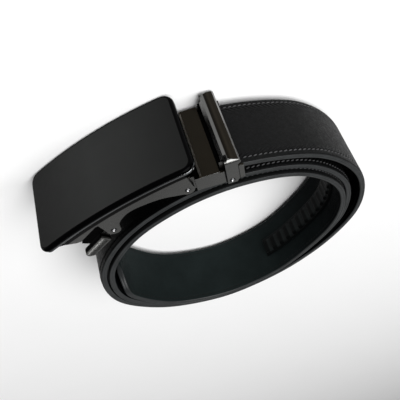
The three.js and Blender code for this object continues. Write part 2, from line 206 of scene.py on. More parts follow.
class BuckleSettings(bpy.types.PropertyGroup):
    """Sizes and colours of the buckle and the strap clip."""

    plate_length: FloatProperty(
        name="Plate length", description="Length of the cover", default=cover_size[0] * MM, unit="LENGTH"
    )
    plate_height: FloatProperty(
        name="Plate height", description="Height of the cover", default=cover_size[2] * MM, unit="LENGTH"
    )
    plate_corner: FloatProperty(
        name="Plate corner", description="Radius of its corners", default=0.005, unit="LENGTH"
    )
    plate_edge: FloatProperty(
        name="Plate edge", description="Rounding of the cover's front edge", default=0.0015, unit="LENGTH"
    )
    ease: FloatProperty(
        name="Edge easing", description="Rounding of the metal's edges", default=0.00022, unit="LENGTH"
    )
    cover: FloatVectorProperty(
        name="Cover", description="Coated plate", default=(0.0215, 0.0224, 0.0218), subtype="COLOR"
    )
    gunmetal: FloatVectorProperty(
        name="Gunmetal", description="Frame, lever, clip and clamp", default=(0.175, 0.175, 0.17), subtype="COLOR"
    )
    bright: FloatVectorProperty(
        name="Bright rim", description="Rim behind the cover", default=(0.18, 0.186, 0.19), subtype="COLOR"
    )
    # Darker copy of the gunmetal for faces that look out of the clip and for the clamp bar's bands: painted shade
    shaded_gunmetal: FloatVectorProperty(
        name="Shaded gunmetal", description="Dark faces", default=(0.0135, 0.0115, 0.0085), subtype="COLOR"
    )
    steel: FloatVectorProperty(
        name="Pins", description="Pin heads", default=(0.36, 0.36, 0.37), subtype="COLOR"
    )


class StageSettings(bpy.types.PropertyGroup):
    """Floor and light."""

    floor: FloatVectorProperty(
        name="Floor", description="Pale floor", default=(0.86, 0.86, 0.86), subtype="COLOR"
    )
    top_power: FloatProperty(name="Top light", description="Soft box above", default=46.0, unit="POWER")
    back_power: FloatProperty(name="Back light", description="Soft box behind", default=2.2, unit="POWER")


def blend(a, b, t):
    return a + (b - a) * t


def smooth(t):
    """Rises from 0 to 1 as 3 t squared less 2 t cubed."""
    u = np.clip(t, 0, 1)
    return u * u * (3 - 2 * u)


def bump_at(x, centre, half):
    """Cosine bump: 1 at the centre and 0 from half away."""
    u = np.clip(np.abs(x - centre) / half, 0, 1)
    return 0.5 + 0.5 * np.cos(np.pi * u)


# Coordinates

clip_angle = math.radians(180 - CLIP_BEND)
along_clip = np.array([math.cos(clip_angle), math.sin(clip_angle)])
out_of_clip = np.array([-along_clip[1], along_clip[0]])
belt_shift = hinge_place - np.array([HINGE[0], HINGE[1], middle_height])


def to_frame(points):
    """Belt coordinates in millimetres to the frame's metres."""
    return (points + belt_shift) * MM


def buckle_point(x, y, z):
    """Point measured from the hinge axis: x to the free end, y away from the cover, z up."""
    x, y, z = np.broadcast_arrays(x, y, z)
    return np.stack([HINGE[0] + x, HINGE[1] + y, middle_height + z], -1)


# Strap's route

def spline_points(knots, per_span=48):
    """Centripetal Catmull-Rom curve: each span is a cubic between two knots, and its slopes there
    come from the neighbouring knots, weighted by the square roots of their distances."""
    k = np.vstack([2 * knots[0] - knots[1], knots, 2 * knots[-1] - knots[-2]])
    step = np.sqrt(np.linalg.norm(np.diff(k, axis=0), axis=1))[:, None]
    before, a, b, after = k[:-3], k[1:-2], k[2:-1], k[3:]
    d0, d1, d2 = step[:-2], step[1:-1], step[2:]
    slope_a = d1 * ((a - before) / d0 - (b - before) / (d0 + d1) + (b - a) / d1)
    slope_b = d1 * ((b - a) / d1 - (after - a) / (d1 + d2) + (after - b) / d2)
    t = np.linspace(0, 1, per_span, endpoint=False)[None, :, None]
    a, b, slope_a, slope_b = (part[:, None] for part in (a, b, slope_a, slope_b))
    cubic = a + slope_a * t + (3 * (b - a) - 2 * slope_a - slope_b) * t**2
    cubic = cubic + (2 * (a - b) + slope_a + slope_b) * t**3
    return np.vstack([cubic.reshape(-1, 2), knots[-1]])


class Route:
    """Middle line of the strap, with its outward normal and the height of its lower edge."""

    def __init__(self, width, thickness):
        self.width, self.thickness = width, thickness
        angle, inner, gap_one, gap_two = LAY.T
        turn = np.arange(3)[:, None]
        radius = inner * COIL_RADIUS + thickness / 2 + turn * thickness
        radius = radius + (turn > 0) * gap_one * TURN_GAP + (turn > 1) * gap_two * TURN_GAP
        angles = np.r_[TIP_ANGLE, (angle + 360 * turn).ravel()]
        radii = np.r_[TIP_INNER * COIL_RADIUS + thickness / 2, radius.ravel()]
        kept = angles <= LAST_ANGLE
        turned = np.radians(angles[kept])
        coil = radii[kept, None] * np.column_stack([np.cos(turned), np.sin(turned)])
        mouth = CLIP_START + CLIP_LENGTH
        s = np.array([mouth, (mouth + STRAP_END) / 2, STRAP_END])[:, None]
        last = HINGE + s * along_clip + STRAP_MIDDLE * out_of_clip
        self.line = spline_points(np.vstack([coil, last]))
        steps = np.linalg.norm(np.diff(self.line, axis=0), axis=1)
        self.run = np.r_[0, np.cumsum(steps)]
        self.length = self.run[-1]
        tangent = np.gradient(self.line, self.run, axis=0)
        tangent /= np.linalg.norm(tangent, axis=1)[:, None]
        normal = np.column_stack([tangent[:, 1], -tangent[:, 0]])
        normal *= np.sign((normal * self.line).sum(1))[:, None]
        far = self.line[:, 1].max() + thickness / 2
        lean = (middle_height - width / 2) * (far - self.line[:, 1]) / (far - self.line[-1, 1])
        turns = self.run / self.length * LAST_ANGLE / 360
        low = lean + INNER_LIFT * (1 - smooth((turns - 0.55) / 0.6))
        self.table = np.column_stack([self.line, normal, tangent, low])

    def at(self, distance):
        """Middle, outward normal, tangent and lower edge's height at distances along the strap."""
        d = np.clip(np.asarray(distance, float), 0, self.length)
        columns = [np.interp(d, self.run, column) for column in self.table.T]
        return (
            np.stack(columns[0:2], -1),
            np.stack(columns[2:4], -1),
            np.stack(columns[4:6], -1),
            columns[6],
        )

    def point(self, distance, depth, height):
        """Point at a distance along the strap, a depth outward of its middle and a height above
        the lower edge: middle plus depth times the normal, and the lower edge plus the height."""
        distance, depth, height = np.broadcast_arrays(distance, depth, height)
        middle, normal, _, low = self.at(distance)
        flat = middle + normal * depth[..., None]
        return np.concatenate([flat, (low + height)[..., None]], -1)

    def half_width(self, distance):
        """Half the strap's width: a quarter ellipse rises from the tip's flat to the full width."""
        back = np.clip(1 - np.asarray(distance, float) / TONGUE_LENGTH, 0, 1)
        return blend(TONGUE_FLAT / 2, self.width / 2, np.sqrt(1 - back**2))


def strap_route(context):
    strap = context.scene.belt_strap
    return Route(mm(strap.width), mm(strap.thickness))


# Meshes

def put_mesh(name, points, faces, kinds=None, chart=None):
    """Mesh object from a points array in millimetres and lists of equal-sided face arrays. The
    chart holds a UV place in metres for each point."""
    flat = to_frame(points.reshape(-1, 3)).astype(np.float32)
    mesh = bpy.data.meshes.new(name)
    mesh.vertices.add(len(flat))
    mesh.vertices.foreach_set("co", flat.ravel())
    corners = np.concatenate([block.ravel() for block in faces]).astype(np.int32)
    sizes = np.concatenate([np.full(len(block), block.shape[1]) for block in faces])
    mesh.loops.add(len(corners))
    mesh.loops.foreach_set("vertex_index", corners)
    mesh.polygons.add(len(sizes))
    mesh.polygons.foreach_set("loop_start", np.r_[0, np.cumsum(sizes)[:-1]].astype(np.int32))
    mesh.polygons.foreach_set("use_smooth", np.ones(len(sizes), bool))
    if kinds is not None:
        mesh.polygons.foreach_set("material_index", np.concatenate(kinds).astype(np.int32))
    if chart is not None:
        layer = mesh.uv_layers.new(name="Chart")
        layer.data.foreach_set("uv", (chart[corners] * MM).astype(np.float32).ravel())
    mesh.update(calc_edges=True)
    mesh.validate()
    piece = bpy.data.objects.new(name, mesh)
    bpy.context.scene.collection.objects.link(piece)
    return piece


def signed_volume(points, faces):
    """Sixth of the sum of corner products over the triangles of every face."""
    total = 0.0
    for block in faces:
        for k in range(1, block.shape[1] - 1):
            a, b, c = points[block[:, 0]], points[block[:, k]], points[block[:, k + 1]]
            total += float((a * np.cross(b, c)).sum())
    return total / 6


def tube_faces(stations, around, first=0):
    """Faces of a closed tube: quads between neighbouring rings and a fan to a pole at each end.
    The poles are the two points after the rings."""
    ring = np.arange(around)
    after = (ring + 1) % around
    start = first + np.arange(stations - 1)[:, None] * around
    quads = np.stack([start + ring, start + around + ring, start + around + after, start + after], -1)
    poles = first + stations * around
    last = first + (stations - 1) * around
    low = np.column_stack([np.full(around, poles), ring + first, after + first])
    high = np.column_stack([np.full(around, poles + 1), last + after, last + ring])
    return quads.reshape(-1, 4), np.vstack([low, high])


def put_tube(name, rings, kinds=None, ends=None, bands=None, chart=None):
    """Closed piece from rings of points (stations, around, 3), with a pole in each end ring. Kinds
    are the materials round a ring or of every face, and bands those from ring to ring."""
    stations, around, _ = rings.shape
    poles = np.stack([rings[0].mean(0), rings[-1].mean(0)]) if ends is None else np.array(ends, float)
    points = np.vstack([rings.reshape(-1, 3), poles])
    quads, fans = tube_faces(stations, around)
    if signed_volume(points, [quads, fans]) < 0:
        quads, fans = quads[:, ::-1], fans[:, ::-1]
    by_face = None
    if kinds is not None:
        kinds = np.broadcast_to(kinds, (stations - 1, around))
        by_face = [kinds.ravel(), np.r_[kinds[0], kinds[-1]]]
    if bands is not None:
        by_face = [np.repeat(bands, around), np.repeat([bands[0], bands[-1]], around)]
    if chart is not None:
        chart = np.vstack([chart.reshape(-1, 2), chart[0].mean(0), chart[-1].mean(0)])
    return put_mesh(name, points, [quads, fans], by_face, chart)


def put_copies(name, shape, quads, fans, places, kinds=None):
    """Many like shapes: shape (points, 3) along each place's three axes, from its origin. Kinds are
    the copies' materials."""
    origin, along, across, out = places
    points = origin[:, None] + shape[None, :, :1] * along[:, None]
    points = points + shape[None, :, 1:2] * across[:, None] + shape[None, :, 2:3] * out[:, None]
    first = np.arange(len(origin))[:, None, None] * len(shape)
    turned = np.einsum("ij,ij->i", np.cross(along, across), out) < 0
    blocks = []
    for block in (quads, fans):
        block = block[:, ::-1] if signed_volume(shape, [quads, fans]) < 0 else block
        every = np.where(turned[:, None, None], block[None, :, ::-1], block[None])
        blocks.append((every + first).reshape(-1, block.shape[1]))
    by_face = None if kinds is None else [np.repeat(kinds, len(quads)), np.repeat(kinds, len(fans))]
    return put_mesh(name, points, blocks, by_face)


def put_turned(name, centre, profile, around=28):
    """Piece turned about an upright axis: profile of (radius, height) rows from one end to the
    other, carried round a circle. The end rows lie on the axis."""
    radius, height = np.array(profile, float)[1:-1].T
    turn = np.linspace(0, 2 * np.pi, around, endpoint=False)
    x = centre[0] + radius[:, None] * np.cos(turn)
    y = centre[1] + radius[:, None] * np.sin(turn)
    z = np.broadcast_to(height[:, None], x.shape)
    ends = [[centre[0], centre[1], profile[0][1]], [centre[0], centre[1], profile[-1][1]]]
    return put_tube(name, np.stack([x, y, z], -1), ends=ends)


def eased_copy(node, name, width, segments=3, second=None):
    """Merged copy of a frame node, its flat faces joined and its edges rounded. second gives the
    faces' materials from their normals and middles."""
    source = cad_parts[node]
    mesh = source.data.copy()
    mesh.name = name
    mesh.materials.clear()
    shape = bmesh.new()
    shape.from_mesh(mesh)
    bmesh.ops.remove_doubles(shape, verts=shape.verts, dist=2e-6)
    bmesh.ops.dissolve_limit(
        shape, angle_limit=math.radians(0.5), verts=shape.verts, edges=shape.edges
    )
    shape.to_mesh(mesh)
    shape.free()
    mesh.polygons.foreach_set("use_smooth", np.ones(len(mesh.polygons), bool))
    if second is not None:
        normals, middles = np.zeros((2, len(mesh.polygons), 3), np.float32)
        mesh.polygons.foreach_get("normal", normals.ravel())
        mesh.polygons.foreach_get("center", middles.ravel())
        chosen = second(normals, middles / MM - belt_shift)
        mesh.polygons.foreach_set("material_index", chosen.astype(np.int32))
    piece = bpy.data.objects.new(name, mesh)
    bpy.context.scene.collection.objects.link(piece)
    easing = piece.modifiers.new("Eased edges", "BEVEL")
    easing.width = width
    easing.segments = segments
    easing.limit_method = "ANGLE"
    easing.angle_limit = math.radians(28)
    evened = piece.modifiers.new("Flat faces stay flat", "WEIGHTED_NORMAL")
    evened.weight = 90
    evened.keep_sharp = True
    return piece


def dress(piece, body, slot, materials, *nodes):
    """Materials and body of a new piece, and the frame nodes that it stands for; the slot is not used."""
    for material in materials:
        piece.data.materials.append(material)
    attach(piece, body)
    if nodes:
        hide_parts(*nodes)


# Materials

def node(tree, kind, inputs=(), **settings):
    """Shader node with its settings and inputs: a value is set, and a socket is linked."""
    made = tree.nodes.new(kind)
    for name, value in settings.items():
        setattr(made, name, value)
    for name, value in dict(inputs).items():
        if isinstance(value, bpy.types.NodeSocket):
            tree.links.new(value, made.inputs[name])
        else:
            made.inputs[name].default_value = value
    return made


def shade(colour, factor):
    return (*(min(channel * factor, 1.0) for channel in tuple(colour)[:3]), 1.0)


def vector_maths(tree, operation, *values):
    """Vector maths node on sockets and constant vectors."""
    return node(tree, "ShaderNodeVectorMath", dict(enumerate(values)), operation=operation).outputs


def maths(tree, operation, *values):
    """Result of a maths node on sockets and constants."""
    return node(tree, "ShaderNodeMath", dict(enumerate(values)), operation=operation).outputs[0]


def mapped(tree, value, low, high, to_low=0.0, to_high=1.0, **settings):
    """Value carried from one range to another and kept inside it."""
    inputs = {"Value": value, "From Min": low, "From Max": high, "To Min": to_low, "To Max": to_high}
    return node(tree, "ShaderNodeMapRange", inputs, **settings).outputs["Result"]


def offset_from(tree, origin):
    """Offset of the shaded point from a place."""
    where = node(tree, "ShaderNodeTexCoord").outputs["Object"]
    return vector_maths(tree, "SUBTRACT", where, tuple(origin))["Vector"]


def length_along(tree, origin, direction):
    """Length in metres from a place along a direction, by the dot product."""
    return vector_maths(tree, "DOT_PRODUCT", offset_from(tree, origin), tuple(direction))["Value"]


def length_from_axis(tree, origin):
    """Length in metres from an upright axis."""
    level = vector_maths(tree, "MULTIPLY", offset_from(tree, origin), (1, 1, 0))["Vector"]
    return vector_maths(tree, "LENGTH", level)["Value"]


def chart_lengths(tree):
    """Lengths in metres along the strap and in from its edge, from its UV chart."""
    chart = node(tree, "ShaderNodeUVMap", uv_map="Chart").outputs["UV"]
    parts = node(tree, "ShaderNodeSeparateXYZ", {0: chart})
    return parts.outputs["X"], parts.outputs["Y"]


def banded(tree, length, stops):
    """Colour that changes with a length: stops of (millimetres, colour), blended in between."""
    low, high = stops[0][0], stops[-1][0]
    ramp = node(tree, "ShaderNodeValToRGB", {"Fac": mapped(tree, length, low * MM, high * MM)})
    elements = ramp.color_ramp.elements
    elements.remove(elements[-1])
    for index, (place, colour) in enumerate(stops):
        position = (place - low) / (high - low)
        element = elements[0] if index == 0 else elements.new(position)
        element.position = position
        element.color = (*colour[:3], 1.0)
    return ramp.outputs["Color"]


def clip_bands(*stops):
    """Bands along the strap clip, from the hinge pin on."""
    return lambda tree: banded(tree, length_along(tree, hinge_place * MM, (*along_clip, 0)), stops)


def pucker(tree, pitch, inset):
    """Ripples that the thread pulls into the leather: a sine along the strap, fading with the
    distance from the stitch row."""
    lean, past_row, reach = 1.1, 0.0012, 0.0021
    along, inward = chart_lengths(tree)
    slanted = maths(tree, "MULTIPLY_ADD", inward, lean, along)
    ripple = maths(tree, "SINE", maths(tree, "MULTIPLY", slanted, 2 * math.pi / pitch))
    aside = maths(tree, "ABSOLUTE", maths(tree, "SUBTRACT", inward, inset + past_row))
    fade = mapped(tree, aside, 0, reach, 1.0, 0.0, interpolation_type="SMOOTHSTEP")
    return maths(tree, "MULTIPLY", ripple, fade)


def relief_height(tree, where, kind, scale):
    """Height of one relief: the thread's pull, a net of cells, a brushed grain or a noise."""
    if kind == "pucker":
        return pucker(tree, *scale)
    if kind == "cells":
        inputs = {"Vector": where, "Scale": scale, "Randomness": 1.0}
        cells = node(tree, "ShaderNodeTexVoronoi", inputs, feature="DISTANCE_TO_EDGE")
        return mapped(tree, cells.outputs["Distance"], 0, 0.12, interpolation_type="SMOOTHSTEP")
    grain = {"Vector": where, "Scale": scale, "Detail": 3.0, "Roughness": 0.55}
    if kind == "brushed":
        stretched = node(tree, "ShaderNodeMapping", {"Vector": where, "Scale": (0.06, 0.06, 1.0)})
        grain = {"Vector": stretched.outputs["Vector"], "Scale": scale, "Detail": 4.0}
    return node(tree, "ShaderNodeTexNoise", grain).outputs["Fac"]


def finish(
    name, colour, roughness, metallic=0.0, relief=(), spread=0.06, cloud=90, tones=(0.75, 1.3),
    bands=None, specular=None,
):
    """Surface finish of a name, made over where there is one. On Object coordinates two tones are
    mixed by a noise, the roughness varies about its middle by the spread, and the reliefs are (kind,
    grains per metre, depth in metres). Bands make a colour that the noise darkens or lightens."""
    material = bpy.data.materials.get(name) or bpy.data.materials.new(name)
    material.use_nodes = True
    tree = material.node_tree
    tree.nodes.clear()
    where = node(tree, "ShaderNodeTexCoord").outputs["Object"]
    noise = node(tree, "ShaderNodeTexNoise", {"Vector": where, "Scale": cloud, "Detail": 5.0, "Roughness": 0.6})
    fine = node(tree, "ShaderNodeTexNoise", {"Vector": where, "Scale": cloud * 9, "Detail": 3.0})
    patches = mapped(tree, noise.outputs["Fac"], 0.3, 0.7)
    middle = 0.7
    base = (middle, middle, middle) if bands else colour
    tone = mix_colour(tree, patches, shade(base, tones[0]), shade(base, tones[1]))
    if bands:
        tone = vector_maths(tree, "MULTIPLY", bands(tree), tone)["Vector"]
        scaled = node(tree, "ShaderNodeVectorMath", {0: tone, "Scale": 1 / middle}, operation="SCALE")
        tone = scaled.outputs["Vector"]
    gloss = mapped(tree, fine.outputs["Fac"], 0.3, 0.7, roughness - spread, roughness + spread)
    surface = {"Base Color": tone, "Roughness": gloss, "Metallic": metallic}
    for kind, scale, depth in relief:
        inputs = {"Height": relief_height(tree, where, kind, scale), "Distance": depth, "Strength": 1.0}
        if "Normal" in surface:
            inputs["Normal"] = surface["Normal"]
        surface["Normal"] = node(tree, "ShaderNodeBump", inputs).outputs["Normal"]
    if specular is not None:
        surface["Specular IOR Level"] = specular
    shader = node(tree, "ShaderNodeBsdfPrincipled", surface)
    output = node(tree, "ShaderNodeOutputMaterial")
    tree.links.new(shader.outputs["BSDF"], output.inputs["Surface"])
    return material


def mix_colour(tree, factor, a, b):
    """Colour between two colours by a factor."""
    made = tree.nodes.new("ShaderNodeMix")
    made.data_type = "RGBA"
    sockets = {socket.identifier: socket for socket in (*made.inputs, *made.outputs)}
    tree.links.new(factor, sockets["Factor_Float"])
    sockets["A_Color"].default_value = a
    sockets["B_Color"].default_value = b
    return sockets["Result_Color"]


def strap_finishes(strap):
    """Leather, painted edge, lining with painted shade on part of it, and leather with painted shade, whole or
    half.
    """
    grain = [("cells", 1500, 0.00007), ("noise", 700, 0.00005)]
    leather = finish(
        "Grained leather", strap.leather, 0.5, spread=0.08, cloud=60, tones=(0.8, 1.25), specular=0.08,
        relief=[*grain, ("noise", 5000, 0.00002), ("pucker", (strap.stitch_pitch, strap.stitch_inset), 0.0003)],
    )
    edge = finish(
        "Painted edge", strap.edge, 0.36, spread=0.08, cloud=120, tones=(0.7, 1.2), specular=0.24,
        relief=[("noise", 900, 0.00003)],
    )
    # From 105 to 210 mm along the strap the lining darkens to LINING_SHADE and stays so: painted shade
    lining = finish(
        "Lining leather", strap.lining, 0.5, spread=0.07, cloud=50, tones=(0.8, 1.2), specular=0.014,
        relief=[("noise", 2600, 0.00003), ("cells", 2400, 0.00002)],
        bands=lambda tree: banded(tree, chart_lengths(tree)[0], [
            (0, strap.lining), (105, strap.lining), (210, LINING_SHADE), (1200, LINING_SHADE),
        ]),
    )
    shaded = [
        finish(
            name, SHADED, 0.5, spread=0.08, cloud=60, tones=(0.8, 1.25), relief=grain, specular=specular,
            bands=lambda tree: banded(tree, chart_lengths(tree)[0], [
                (600, SHADED), (SHADE_FADES, SHADED), (SHADE_TO, strap.leather),
                (SHADE_TO + 20, SHADED), (1200, SHADED),
            ]),
        )
        for name, specular in (("Shaded leather", 0.02), ("Half-shaded leather", 0.045))
    ]
    return leather, edge, lining, *shaded


def metal_finish(name, colour, roughness=0.28, bands=None):
    return finish(
        name, colour, roughness, metallic=1.0, spread=0.02, cloud=60, tones=(0.92, 1.08),
        relief=[("brushed", 3000, 0.000001)], bands=bands,
    )


# Near-black steel with almost no reflection that stands for shade: painted shade
def painted_shade_steel():
    return finish(
        "Black steel of painted shade", PAINTED_SHADE_BLACK, 0.35, spread=0.05, cloud=150, tones=(0.8, 1.2),
        relief=[("noise", 2200, 0.00001)], specular=0.004,
    )


def facing(direction, least):
    """Chooser of faces whose normal points along a direction."""
    return lambda normals, middles: normals @ np.array(direction, np.float32) > least


# Operators

class BELT_OT_strap(bpy.types.Operator):
    """Leather strap: a section carried along the coil, with rounded rims and a rounded tongue"""

    bl_idname = "belt.strap"
    bl_label = "Strap"

    def execute(self, context):
        strap = context.scene.belt_strap
        route = strap_route(context)
        half, face, edge = route.width / 2, route.thickness / 2, mm(strap.edge_round)
        inset = mm(strap.stitch_inset)
        lining_edge, seam = 0.7, 0.16
        # Rows of depth and distance from the edge, from the outer face's middle to the lining's
        from_edge = np.array([half, 15, 12, 9.5, 7.5, 6, 5, 4.2, 3.6, 3.2, 2.9, 2.6, 2.3, 2.0, 1.6, 1.2])
        row_sink, row_half, edge_fall, fall_from = 0.2, 0.75, 0.22, 3.4
        sunk = row_sink * bump_at(from_edge, inset, row_half) + edge_fall * (1 - smooth(from_edge / fall_from))
        outer = np.column_stack([face - sunk, from_edge])
        start = outer[-1]
        turn = np.linspace(0, np.pi / 2, 7)[1:]
        outer_round = np.column_stack([start[0] - edge * (1 - np.cos(turn)), start[1] * (1 - np.sin(turn))])
        rim_start = outer_round[-1, 0]
        rim_depth = np.array([blend(rim_start, 0.1, 0.5), 0.3, 0.1, 0.0, -0.1, -0.3, -0.65])
        rim_sink = np.array([-0.03, 0.0, 0.03, seam, 0.03, 0.0, -0.03])
        rim = np.column_stack([rim_depth, rim_sink])
        inner_round = np.column_stack([
            -face + lining_edge * (1 - np.sin(turn)),
            lining_edge * (1 - np.cos(turn)),
        ])
        lining_from = np.array([1.2, 1.7, 2.1, 2.35, 2.6, 2.85, 3.1, 3.5, 4.5, 6.5, 9, 12, 15])
        lining_sink = 0.14 * bump_at(lining_from, inset, 0.6)
        lining = np.column_stack([-face + lining_sink, lining_from])
        rows = np.vstack([outer, outer_round, rim, inner_round, lining, [[-face, half]]])
        kinds = np.r_[
            np.zeros(len(outer) + 3), np.ones(3 + len(rim) + 4), np.full(len(rows) - len(outer) - len(rim) - 10, 2)
        ]
        # Upper half of the section, then the lower half back to the start
        depth = np.r_[rows[:, 0], rows[-2:0:-1, 0]]
        inward = np.r_[rows[:, 1], rows[-2:0:-1, 1]]
        side = np.r_[np.ones(len(rows)), -np.ones(len(rows) - 2)]
        kinds = np.r_[kinds[:-1], kinds[:-1][::-1]]
        opening = np.linspace(0, np.pi / 2, 20, endpoint=False)
        rest = np.linspace(TONGUE_LENGTH, route.length, int((route.length - TONGUE_LENGTH) / 2.4))
        along = np.r_[TONGUE_LENGTH * (1 - np.cos(opening)), rest][:, None]
        wide = route.half_width(along)
        shrink = np.minimum(wide / (inset * 2.6), 1)
        thin = np.sqrt(1 - np.clip(1 - (along + 0.06) / 0.9, 0, 1) ** 2)
        wander = 0.05 * np.sin(along / 17 + side) + 0.04 * np.sin(along / 6.3)
        height = half + side * np.maximum(wide - inward * shrink, 0) + wander * (wide > half - 0.01)
        height = np.where(np.abs(inward - half) < 1e-6, half, height)
        rings = route.point(along, depth * thin, height)
        chart = np.stack(np.broadcast_arrays(along, np.maximum(wide - inward * shrink, 0)), -1)
        chart[..., 1] = wide - chart[..., 1]
        between = (along[1:] + along[:-1]) / 2
        # Faces behind the buckle and inside the clip take the leather with painted shade, the end of the stretch
        # behind the buckle half of it
        behind = ((between > SHADE_FROM) & (between < SHADE_TO)) | (between > route.length - SHADE_IN_CLIP)
        fading = (between > SHADE_HALF) & (between < SHADE_TO)
        kinds = np.where((behind | fading) & (kinds == 0), np.where(fading, 4, 3), kinds)
        piece = put_tube("leather_strap", rings, kinds, chart=chart)
        dress(piece, "strap_and_clip", "strap_leather", strap_finishes(strap), "strap")
        return {"FINISHED"}


class BELT_OT_stitches(bpy.types.Operator):
    """Stitch rows along both edges and round the tongue, on the outer face and on the lining"""

    bl_idname = "belt.stitches"
    bl_label = "Stitches"

    def execute(self, context):
        strap = context.scene.belt_strap
        route = strap_route(context)
        inset = mm(strap.stitch_inset)
        # Row in the flat: the strap's outline moved in by the inset, from one edge round the tip
        opening = np.linspace(0, np.pi / 2, 60)
        along = np.r_[TONGUE_LENGTH * (1 - np.cos(opening)), np.linspace(TONGUE_LENGTH + 1, route.length, 1200)]
        outline = np.column_stack([along, route.half_width(along)])
        tangent = np.gradient(outline, axis=0)
        tangent /= np.linalg.norm(tangent, axis=1)[:, None]
        upper = outline + inset * np.column_stack([tangent[:, 1], -tangent[:, 0]])
        upper = upper[(upper[:, 0] >= inset) & (upper[:, 1] > 0)]
        flat = np.vstack([upper[::-1], [[inset, 0]], upper * [1, -1]])
        run = np.r_[0, np.cumsum(np.linalg.norm(np.diff(flat, axis=0), axis=1))]
        count = int(run[-1] / mm(strap.stitch_pitch))
        marks = (np.arange(count) + 0.5) * run[-1] / count
        place = np.column_stack([np.interp(marks, run, column) for column in flat.T])
        ahead = np.column_stack([np.interp(marks + 0.2, run, column) for column in flat.T]) - place
        ahead /= np.linalg.norm(ahead, axis=1)[:, None] + 1e-12
        mouth = route.length - (CLIP_START + CLIP_LENGTH - STRAP_END)
        slant = strap.stitch_slant
        shaded_thread = finish("Shaded thread", shade(strap.thread, 0.02), 0.6, cloud=400, specular=0.01)
        for name, sign, rise, tone in (("outer_stitches", 1, 0.02, 1.0), ("lining_stitches", -1, 0.0, 0.2)):
            thread = finish(
                "Waxed thread of the " + name, shade(strap.thread, tone), 0.55, spread=0.1, cloud=400,
                relief=[("noise", 4200, 0.00006)], specular=0.1 * tone,
            )
            keep = place[:, 0] < mouth + (0.5 if sign > 0 else -1)
            spot, way = place[keep], ahead[keep]
            middle, normal, tangent, low = route.at(spot[:, 0])
            turn = slant * sign
            lead = way[:, 0] * math.cos(turn) - way[:, 1] * math.sin(turn)
            climb = way[:, 0] * math.sin(turn) + way[:, 1] * math.cos(turn)
            direction = np.column_stack([tangent * lead[:, None], climb])
            out = np.column_stack([normal * sign, np.zeros(len(spot))])
            across = np.cross(out, direction)
            surface = sign * (route.thickness / 2 - 0.17) + sign * rise
            origin = np.column_stack([
                middle + normal * surface, low + route.width / 2 + spot[:, 1],
            ])
            shape, quads, fans = stitch_shape(mm(strap.stitch_length))
            # Stitches behind the buckle take the thread with painted shade
            behind = (spot[:, 0] > SHADE_FROM) & (spot[:, 0] < SHADE_TO)
            piece = put_copies(name, shape, quads, fans, (origin, direction, across, out), behind)
            dress(piece, "strap_and_clip", "strap_leather", [thread, shaded_thread])
        return {"FINISHED"}


def stitch_shape(length, width=0.62, height=0.34):
    """Arched thread: circles whose size follows a fourth-power bulge and whose middle dips at
    both ends by the square of the distance from the centre."""
    u = np.linspace(-0.96, 0.96, 6)
    turn = np.linspace(0, 2 * np.pi, 6, endpoint=False)
    size = (1 - u**4) ** 0.5
    x = np.broadcast_to((u * length / 2)[:, None], (6, 6))
    y = width / 2 * size[:, None] * np.cos(turn)
    z = height * (size[:, None] * np.sin(turn) * 0.55 - 0.5 * (u**2)[:, None] + 0.25)
    rings = np.stack([x, y, z], -1).reshape(-1, 3)
    ends = [[-length / 2, 0, -0.3 * height], [length / 2, 0, -0.3 * height]]
    quads, fans = tube_faces(6, 6)
    return np.vstack([rings, ends]), quads, fans


